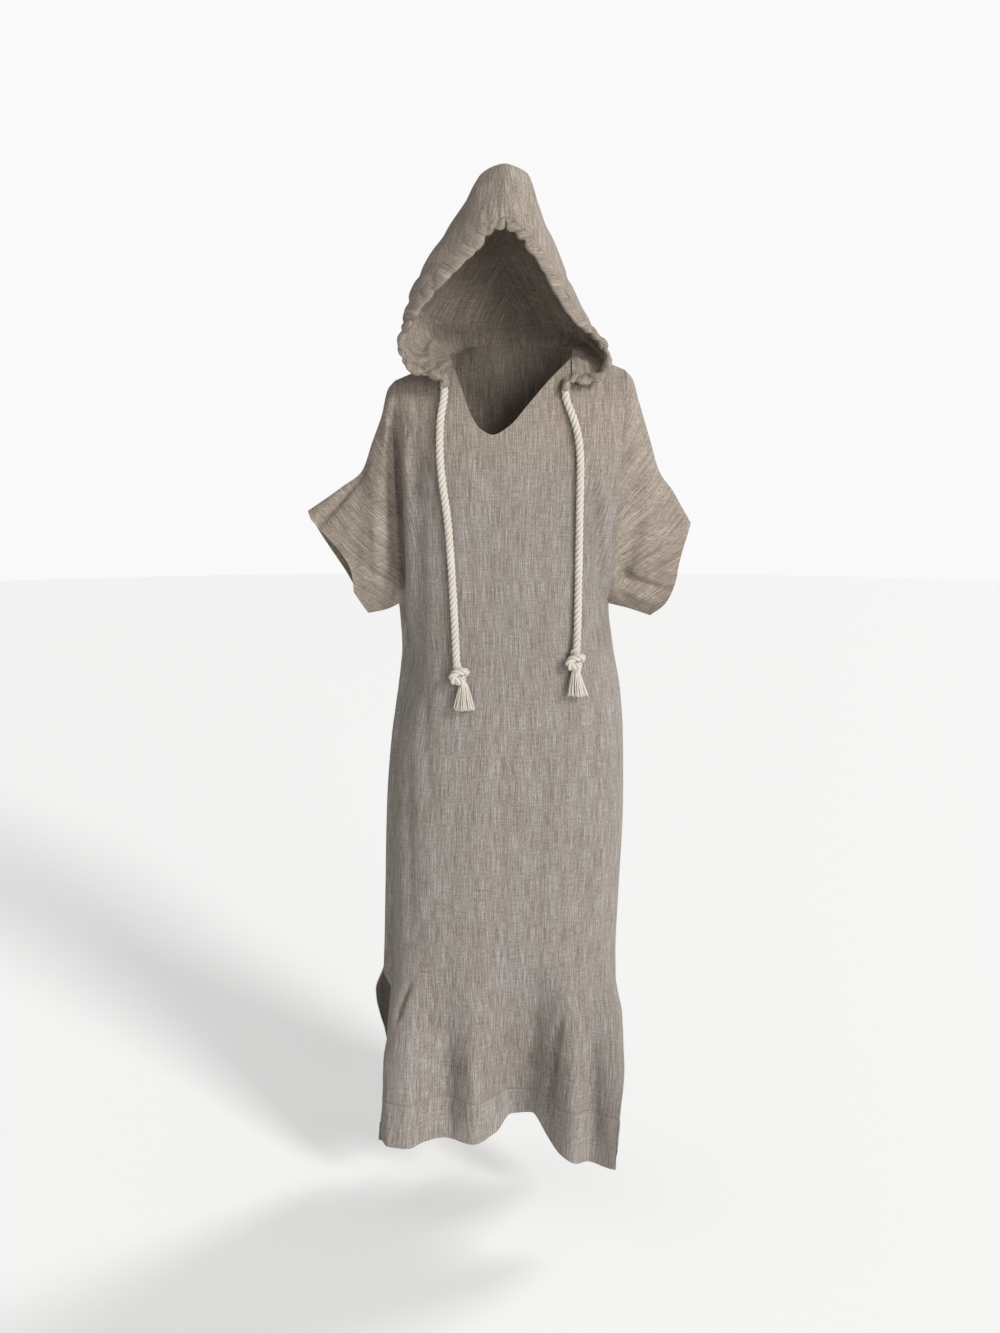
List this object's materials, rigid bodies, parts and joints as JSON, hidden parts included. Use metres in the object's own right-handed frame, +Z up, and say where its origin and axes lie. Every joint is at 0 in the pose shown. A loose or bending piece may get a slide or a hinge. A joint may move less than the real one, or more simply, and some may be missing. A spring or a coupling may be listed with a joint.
{
  "type": "hooded kaftan",
  "caption": "Long kimono-cut linen kaftan in its hollow worn form, with a V neck, side slits, a ruched drawcord hood and knotted rope ends.",
  "frame": {"origin": "the middle of the shoulder line, where the wearer's shoulders carry the garment", "axes": "+Z is up, -Y is the garment's front, and +X is to the right of someone who looks at its front"},
  "size_m": [0.658, 0.291, 1.7058],
  "materials": {
    "linen": "matte crinkled linen with slubs",
    "cotton_rope": "matte twisted cotton"
  },
  "bodies": {
    "root": {"front_panel": "linen", "back_panel": "linen", "hood_left": "linen", "hood_right": "linen", "casing_left": "linen", "casing_right": "linen", "cord_left": "cotton_rope", "cord_right": "cotton_rope", "knot_left": "cotton_rope", "knot_right": "cotton_rope", "tassel_left": "cotton_rope", "tassel_right": "cotton_rope"}
  },
  "joints": []
}
